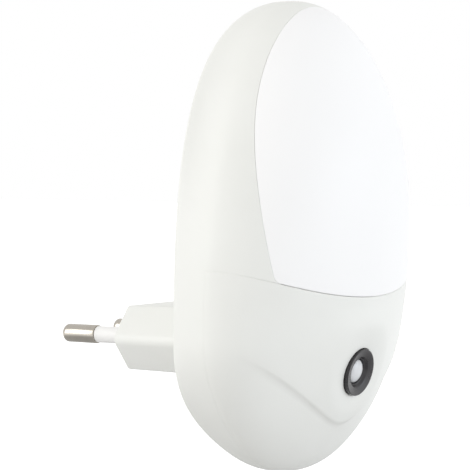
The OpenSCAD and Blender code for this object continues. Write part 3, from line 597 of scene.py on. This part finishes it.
def mark(material, colour, mask):
    # A mix of colours has its factor at socket 0, its two colours at 6 and 7 and its result at 2.
    nodes, links = material.node_tree.nodes, material.node_tree.links
    shader = nodes["Principled BSDF"]
    under = shader.inputs["Base Color"].links[0].from_socket
    print_over = nodes.new("ShaderNodeMix")
    print_over.data_type = "RGBA"
    links.new(mask, print_over.inputs[0])
    links.new(under, print_over.inputs[6])
    print_over.inputs[7].default_value = (*colour, 1)
    links.new(print_over.outputs[2], shader.inputs["Base Color"])


board_green = mottled("board_green", low=(0.02, 0.15, 0.06), high=(0.03, 0.20, 0.08), grain=400,
                      roughness=(0.3, 0.45), bump=0.2)
mark(board_green, (0.06, 0.27, 0.11), stripes(board_green, "X", TRACK_PITCH, width=0.55))
paint(board_green, "driver_board")

# Parts on the driver board
# A yellow film capacitor drops the mains, a bridge and a sleeved can turn it into a steady supply, and
# a transistor and small resistors switch it at dusk. All are soldered through the board by their legs.
CAN_TOP_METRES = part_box("smoothing_capacitor")[1].z
CAN_STRIPE_METRES = 0.0009
FUSE_BAND_PITCH = 2.4
RESISTOR_BAND_PITCH = 1.4
film_cap_yellow = mottled("film_cap_yellow", low=(0.72, 0.50, 0.06), high=(0.80, 0.57, 0.09),
                          grain=250, roughness=(0.35, 0.5), bump=0.15)
paint(film_cap_yellow, "film_capacitor")
can_sleeve = mottled("can_sleeve", low=(0.03, 0.04, 0.07), high=(0.05, 0.06, 0.10), grain=250,
                     roughness=(0.3, 0.45), bump=0.1)
mark(can_sleeve, (0.55, 0.57, 0.60), beyond(can_sleeve, "Z", CAN_TOP_METRES - CAN_STRIPE_METRES))
paint(can_sleeve, "smoothing_capacitor")
package_black = mottled("package_black", low=(0.02, 0.02, 0.02), high=(0.04, 0.04, 0.04), grain=700,
                        roughness=(0.5, 0.65), bump=0.2)
paint(package_black, "bridge_rectifier", "transistor")
fuse_grey_green = mottled("fuse_grey_green", low=(0.30, 0.36, 0.31), high=(0.36, 0.42, 0.37),
                          grain=400, roughness=(0.5, 0.6), bump=0.2)
mark(fuse_grey_green, (0.06, 0.05, 0.05), stripes(fuse_grey_green, "X", FUSE_BAND_PITCH, width=0.8))
paint(fuse_grey_green, "fusible_resistor")
resistor_tan = mottled("resistor_tan", low=(0.62, 0.48, 0.30), high=(0.70, 0.55, 0.36), grain=500,
                       roughness=(0.45, 0.55), bump=0.1)
mark(resistor_tan, (0.30, 0.06, 0.03), stripes(resistor_tan, "X", RESISTOR_BAND_PITCH, width=0.75))
paint(resistor_tan, "carbon_resistors")

# Light board and lamps
# The lamps are flat white packages on a board with a white lacquer. Each has a square of yellow
# phosphor that fills its front face.
LIGHT_TRACK_PITCH = 6.1
LED_FRONT_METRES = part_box("leds")[0].y
PHOSPHOR_METRES = 0.0002
board_white = mottled("board_white", low=(0.82, 0.83, 0.82), high=(0.88, 0.89, 0.88), grain=300,
                      roughness=(0.35, 0.5), bump=0.1)
mark(board_white, (0.72, 0.74, 0.73), stripes(board_white, "Z", LIGHT_TRACK_PITCH, width=0.85))
paint(board_white, "light_board")
led_phosphor = mottled("led_phosphor", low=(0.85, 0.68, 0.14), high=(0.93, 0.76, 0.22), grain=900,
                       roughness=(0.4, 0.55), bump=0.2)
mark(led_phosphor, (0.86, 0.86, 0.84), beyond(led_phosphor, "Y", LED_FRONT_METRES + PHOSPHOR_METRES))
paint(led_phosphor, "leds")

# Reflector
# A bright white tray stands in front of the light board, with a hole for each lamp, and throws the
# light forward. It is moulded thin and is held by the screws of the light board.
reflector_white = mottled("reflector_white", low=(0.88, 0.88, 0.87), high=(0.92, 0.92, 0.91),
                          grain=200, roughness=(0.3, 0.4), bump=0.05)
paint(reflector_white, "reflector")

# Link wires
# Two thin wires with red jackets carry the supply up from the driver board to the light board.
# They are soldered at both ends.
link_red = mottled("link_red", low=(0.55, 0.04, 0.03), high=(0.64, 0.06, 0.05), grain=300,
                   roughness=(0.4, 0.5), bump=0.1)
paint(link_red, "link_wires")

# Board screws
# Two small self-tapping screws of plated steel hold each board to its moulded posts. Their pan heads
# are cold formed.
screw_steel = mottled("screw_steel", low=(0.45, 0.45, 0.46), high=(0.55, 0.55, 0.56), grain=600,
                      roughness=(0.28, 0.42), bump=0.1, metallic=1.0)
paint(screw_steel, "board_screws", "light_screws")

# Diffuser
# The window over the lamps is a moulded opal sheet that fills the opening and carries on the egg's
# curve. It is milky right through and whiter than the casing, and a flange along its lower edge is
# locked behind the front cover.
WINDOW_WALL = 2.2
WINDOW_GAP = 0.02
WINDOW_MIDDLE_Z = 34
WINDOW_ROWS = 44
ROW_CROWDING = 1.6
SEAM_STEPS = 70
SEAM_ROUND = 0.3
seam_end = corner_low[0]
seam_places = [seam_end * (2 * n / SEAM_STEPS - 1) for n in range(1, SEAM_STEPS)]
edge = opening + [(x, seam(x)) for x in seam_places]


def window_point(column, row):
    x, z = edge[column % len(edge)]
    gap_share = WINDOW_GAP / math.hypot(x, z - WINDOW_MIDDLE_Z)
    share = (1 - gap_share) * (1 - (1 - row / WINDOW_ROWS) ** ROW_CROWDING)
    return on_skin(x * share, WINDOW_MIDDLE_Z + (z - WINDOW_MIDDLE_Z) * share)


window = lay_sheet("opal_window", len(edge), WINDOW_ROWS, window_point)
weld(window)
give_wall(window, WINDOW_WALL, [(SEAM_ROUND, on_seam), (EDGE_ROUND, lambda p: True)])
bpy.ops.object.shade_smooth_by_angle(angle=SHARP_ANGLE)
opal = mottled("opal_diffuser", low=(0.952, 0.945, 0.934), high=(0.964, 0.957, 0.946), grain=50,
               roughness=(0.42, 0.50), bump=0.04, bump_grain=2000)
opal.node_tree.nodes["Principled BSDF"].inputs["Specular IOR Level"].default_value = 0.3
dress(window, opal, "opal_diffuser", "diffuser")

# Front cover
# The lower front is a white shell of its own. It has a shallow dish for the sensor, and a soft crease
# sweeps round the chin below it. Two screws from behind pull it on to the rear housing.
COVER_COLUMNS = 180
CHIN_ROWS = 34
CREASE_ROWS = 8
FACE_ROWS = 64
COVER_PART_GAP = 0.005
COVER_SEAM_GAP = 0.02
FRONT_COLUMNS = (0.15, 0.85)
COVER_SHARP_ANGLE = math.radians(38)

# The crease is a bow with a rounded middle. The step below it fades out downwards and to the sides.
CREASE_Z = -19
CREASE_BEND = 9.8
CREASE_SLOPE = 0.6
CREASE_STEP = 0.5
CREASE_BAND = 1
CREASE_START = 1.2
CREASE_FADE = 9
CREASE_FULL_X = 20
CREASE_FADE_X = 13


def crease(x):
    return CREASE_Z + math.sqrt(CREASE_BEND + (CREASE_SLOPE * x) ** 2)


def cover_point(column, row):
    turn = math.pi * column / COVER_COLUMNS
    middle, top = crease(0), seam(0)
    for _ in range(8):
        middle = crease(half_width(middle) * signed_power(math.cos(turn), 2 / section(middle)))
        top = seam(half_width(top) * signed_power(math.cos(turn), 2 / section(top)))
    in_front = FRONT_COLUMNS[0] < column / COVER_COLUMNS < FRONT_COLUMNS[1]
    top -= COVER_SEAM_GAP if in_front else COVER_PART_GAP
    low = middle - CREASE_BAND
    if row <= CHIN_ROWS:
        z = CHIN_Z + (low - CHIN_Z) * (1 - math.cos(math.pi / 2 * row / CHIN_ROWS))
    elif row <= CHIN_ROWS + CREASE_ROWS:
        z = low + CREASE_BAND * (row - CHIN_ROWS) / CREASE_ROWS
    else:
        z = middle + (top - middle) * (row - CHIN_ROWS - CREASE_ROWS) / FACE_ROWS
    return (half_width(z) * signed_power(math.cos(turn), 2 / section(z)),
            PART_Y - COVER_PART_GAP - bulge(z) * math.sin(turn) ** (2 / section(z)), z)


def ease(t):
    t = min(1, max(0, t))
    return t * t * (3 - 2 * t)


# Round the sensor the cover swells a little, and the dish is sunk into the swelling.
SENSOR_Z = -5.8
SENSOR_TILT = math.radians(12.5)
SENSOR_OUT = 0.6
SWELL = 1
SWELL_REACH = 22
SWELL_FADE = 7
DIP = 1.5
DIP_REACH = 11
DIP_UP = 1.2
sensor_y = on_skin(0, SENSOR_Z)[1]
cover = lay_sheet("front_cover", COVER_COLUMNS, CHIN_ROWS + CREASE_ROWS + FACE_ROWS, cover_point)
weld(cover)
outward = [v.normal.copy() for v in cover.data.vertices]
for v, normal in zip(cover.data.vertices, outward):
    x, y, z = v.co * 1000
    below = crease(x) - z
    if below > 0:
        step = CREASE_STEP * (1 - ease((abs(x) - CREASE_FULL_X) / CREASE_FADE_X))
        step *= 1 - ease((below - CREASE_BAND) / CREASE_FADE)
        v.co -= normal * step / 1000 * min(1, below / CREASE_START) ** 2
    away = math.dist((x, y, z), (0, sensor_y, SENSOR_Z))
    swell = SWELL * max(0, 1 - (away / SWELL_REACH) ** 2) ** 2 * ease((seam(x) - z) / SWELL_FADE)
    away = math.dist((x, y, z), (0, sensor_y, SENSOR_Z + DIP_UP))
    dip = DIP * max(0, 1 - (away / DIP_REACH) ** 2) ** 2
    v.co += normal * (swell - dip) / 1000
give_wall(cover, WALL, [(SEAM_ROUND, lambda p: on_seam(p) and abs(p.x) < seam_end),
                        (CLOSE_ROUND, on_seam), (CLOSE_ROUND, on_parting)])

# The ring's seat is bored into the dish: wide for its flange, then narrow for its barrel.
RING_RADIUS = 5
RING_FLANGE = 1.4
SEAT_GAP = 0.2
SEAT_FLOOR_GAP = 0.02
BARREL_HOLE_RADIUS = 3.9
BORE_START = 4
BORE_END = -9
SENSOR_PLACE = (0, sensor_y - SENSOR_OUT * math.cos(SENSOR_TILT),
                SENSOR_Z - SENSOR_OUT * math.sin(SENSOR_TILT))
SENSOR_TURN = (math.pi / 2 + SENSOR_TILT, 0, 0)
seat_floor = -RING_FLANGE - SEAT_FLOOR_GAP
seat_radius = RING_RADIUS + SEAT_GAP
bore = turned("seat_bore", 96, [(BARREL_HOLE_RADIUS, BORE_END), (BARREL_HOLE_RADIUS, seat_floor),
                                (seat_radius, seat_floor), (seat_radius, BORE_START)])
stand(bore, SENSOR_PLACE, SENSOR_TURN)
hold(cover)
cut = cover.modifiers.new("seat", "BOOLEAN")
cut.operation = "DIFFERENCE"
cut.object = bore
bpy.ops.object.modifier_apply(modifier=cut.name)
hold(bore)
bpy.ops.object.delete()
hold(cover)
bpy.ops.object.shade_smooth_by_angle(angle=COVER_SHARP_ANGLE)
dress(cover, casing_white, "casing_white", "sensor_cover")

# Sensor ring
# The ring round the sensor is a glossy black moulding, pressed into the cover from the front until its
# hollow face sits in the dish. Its barrel holds the lens, and a white push-on ring holds it from behind.
RING_ROUND = 0.1
RING_MOUTH_RADIUS = 2.6
BARREL_RADIUS = 3.55
BARREL_BORE_RADIUS = 3
BARREL_END = -6.4
LENS_STOP = -1.8
hollow_face = [(4.8, -0.01), (3.4, -0.35), (3.3, -0.39), (3.22, -0.48), (2.9, -0.95), (2.8, -0.98),
               (2.72, -1.06), (RING_MOUTH_RADIUS, -RING_FLANGE)]
ring_profile = [(BARREL_RADIUS, BARREL_END), (BARREL_RADIUS, -RING_FLANGE), (RING_RADIUS, -RING_FLANGE)]
ring_profile += rounded(RING_RADIUS - RING_ROUND, -RING_ROUND, RING_ROUND, 0, 90, 6) + hollow_face
ring_profile += [(RING_MOUTH_RADIUS, LENS_STOP), (BARREL_BORE_RADIUS, LENS_STOP),
                 (BARREL_BORE_RADIUS, BARREL_END), (BARREL_RADIUS, BARREL_END)]
ring = turned("sensor_ring", 96, ring_profile)
stand(ring, SENSOR_PLACE, SENSOR_TURN)
bezel_black = mottled("bezel_black", low=(0.020, 0.018, 0.020), high=(0.028, 0.026, 0.028), grain=200,
                      roughness=(0.22, 0.34), bump=0.06, bump_grain=2400)
dress(ring, bezel_black, "bezel_black", "sensor_bezel")
paint(casing_white, "bezel_retainer")

# Sensor lens
# A small clear lens is pressed into the ring from behind. It is moulded in clear acrylic with a
# polished crown, and the pale light cell shows through it.
EYE_RADIUS = 2.9
EYE_BACK = -2.4
EYE_GAP = 0.02
CROWN_RADIUS = 2.5
CROWN_FOOT = -1.5
CROWN_HEIGHT = 1.1
crown_turns = [math.radians(angle) for angle in range(0, 90, 6)]
crown = [(CROWN_RADIUS * math.cos(a), CROWN_FOOT + CROWN_HEIGHT * math.sin(a)) for a in crown_turns]
eye_profile = [(EYE_RADIUS, EYE_BACK), (EYE_RADIUS, LENS_STOP - EYE_GAP), (CROWN_RADIUS, LENS_STOP)]
eye = turned("sensor_eye", 72, eye_profile + crown)
stand(eye, SENSOR_PLACE, SENSOR_TURN)
clear_lens = mottled("clear_lens", low=(0.90, 0.91, 0.92), high=(0.96, 0.97, 0.98), grain=150,
                     roughness=(0.03, 0.07), bump=0.01)
clear_lens.node_tree.nodes["Principled BSDF"].inputs["Transmission Weight"].default_value = 0.3
clear_lens.node_tree.nodes["Principled BSDF"].inputs["IOR"].default_value = 1.49
dress(eye, clear_lens, "clear_lens", "sensor_lens")

# Photocell
# Behind the lens sits a light cell: a small disc of sintered sulphide on a ceramic base, with a winding
# track over its pale face. Its two legs run back through the cover to the driver board.
CELL_TRACK_PITCH = 0.8
photocell_face = mottled("photocell_face", low=(0.70, 0.66, 0.58), high=(0.78, 0.74, 0.68), grain=900,
                         roughness=(0.3, 0.4), bump=0.1)
mark(photocell_face, (0.42, 0.20, 0.07), stripes(photocell_face, "X", CELL_TRACK_PITCH, width=0.62))
paint(photocell_face, "photocell")

# Cover screws
# Two self-tapping screws of plated steel go in from the back, through the sunk holes of the rear
# housing, and pull the front cover on to it.
paint(screw_steel, "cover_screws")

# Studio
# The light floats in a white studio, as a plug-in light does in its socket. A pale floor lies just
# below it, the white surround is brightest near the horizon, and two soft lamps stand to the left
# behind it and to the right in front. Sizes here are in metres.
FLOOR_SIZE = 8
FLOOR_Z = -0.1
FLOOR_GREY = 0.68
GLOW_START = 0.12
GLOW_FULL = 0.45
GLOW = 0.75
HORIZON_LIGHT = 1.46
HORIZON_HEIGHT = 0.1
ZENITH_LIGHT = 0.65
ZENITH_HEIGHT = 0.7
bpy.ops.object.select_all(action="DESELECT")
bpy.ops.mesh.primitive_plane_add(size=FLOOR_SIZE, location=(0, 0, FLOOR_Z))
floor = bpy.context.object
floor.name = "floor"


def seen_directly(nodes, links):
    path = nodes.new("ShaderNodeLightPath")
    seen = path.outputs["Is Camera Ray"]
    for kind in ("Is Glossy Ray", "Is Transmission Ray"):
        either = nodes.new("ShaderNodeMath")
        either.operation = "MAXIMUM"
        links.new(seen, either.inputs[0])
        links.new(path.outputs[kind], either.inputs[1])
        seen = either.outputs[0]
    return seen


# The floor glows where it is seen directly and away from the light, so that it melts into the white.
floor_paper = bpy.data.materials.new("floor_paper")
floor_paper.use_nodes = True
nodes, links = floor_paper.node_tree.nodes, floor_paper.node_tree.links
shader = nodes["Principled BSDF"]
shader.inputs["Base Color"].default_value = (FLOOR_GREY, FLOOR_GREY, FLOOR_GREY, 1)
shader.inputs["Roughness"].default_value = 0.9
shader.inputs["Specular IOR Level"].default_value = 0
shader.inputs["Emission Color"].default_value = (1, 1, 1, 1)
place = nodes.new("ShaderNodeTexCoord")
reach = nodes.new("ShaderNodeVectorMath")
reach.operation = "LENGTH"
links.new(place.outputs["Object"], reach.inputs[0])
spread = nodes.new("ShaderNodeMapRange")
spread.interpolation_type = "SMOOTHSTEP"
spread.inputs["From Min"].default_value = GLOW_START
spread.inputs["From Max"].default_value = GLOW_FULL
spread.inputs["To Max"].default_value = GLOW
links.new(reach.outputs["Value"], spread.inputs["Value"])
share = nodes.new("ShaderNodeMath")
share.operation = "MULTIPLY"
links.new(seen_directly(nodes, links), share.inputs[0])
links.new(spread.outputs["Result"], share.inputs[1])
links.new(share.outputs[0], shader.inputs["Emission Strength"])
floor.data.materials.append(floor_paper)

# The surround is plain white where it is seen directly, and lights the piece from the horizon up.
world = bpy.data.worlds.new("studio")
bpy.context.scene.world = world
world.use_nodes = True
nodes, links = world.node_tree.nodes, world.node_tree.links
surround = nodes["Background"]
surround.inputs["Color"].default_value = (1, 1, 1, 1)
place = nodes.new("ShaderNodeTexCoord")
heading = nodes.new("ShaderNodeSeparateXYZ")
links.new(place.outputs["Generated"], heading.inputs[0])
level = nodes.new("ShaderNodeMapRange")
level.interpolation_type = "SMOOTHSTEP"
level.inputs["From Min"].default_value = HORIZON_HEIGHT
level.inputs["From Max"].default_value = ZENITH_HEIGHT
level.inputs["To Min"].default_value = HORIZON_LIGHT
level.inputs["To Max"].default_value = ZENITH_LIGHT
links.new(heading.outputs["Z"], level.inputs["Value"])
chosen = nodes.new("ShaderNodeMix")
chosen.inputs["B"].default_value = 1
links.new(seen_directly(nodes, links), chosen.inputs["Factor"])
links.new(level.outputs["Result"], chosen.inputs["A"])
links.new(chosen.outputs["Result"], surround.inputs["Strength"])

LAMP_AIM = (0, -0.03, 0.02)
for name, place, size, power, colour in (
        ("lamp_left", (-0.95, 0.7, 0.4), (0.6, 0.95), 4, (1, 1, 1)),
        ("lamp_right", (0.4, -1.15, 0.12), (0.9, 0.4), 3, (0.78, 0.87, 1))):
    bpy.ops.object.select_all(action="DESELECT")
    bpy.ops.object.light_add(type="AREA", location=place)
    lamp = bpy.context.object
    lamp.name = name
    lamp.data.shape = "RECTANGLE"
    lamp.data.size, lamp.data.size_y = size
    lamp.data.energy = power
    lamp.data.color = colour
    sight_x, sight_y, sight_z = (end - start for start, end in zip(place, LAMP_AIM))
    lamp.rotation_euler = (math.atan2(math.hypot(sight_x, sight_y), -sight_z), 0,
                           math.atan2(-sight_x, sight_y))

bpy.context.scene.view_settings.view_transform = "Standard"
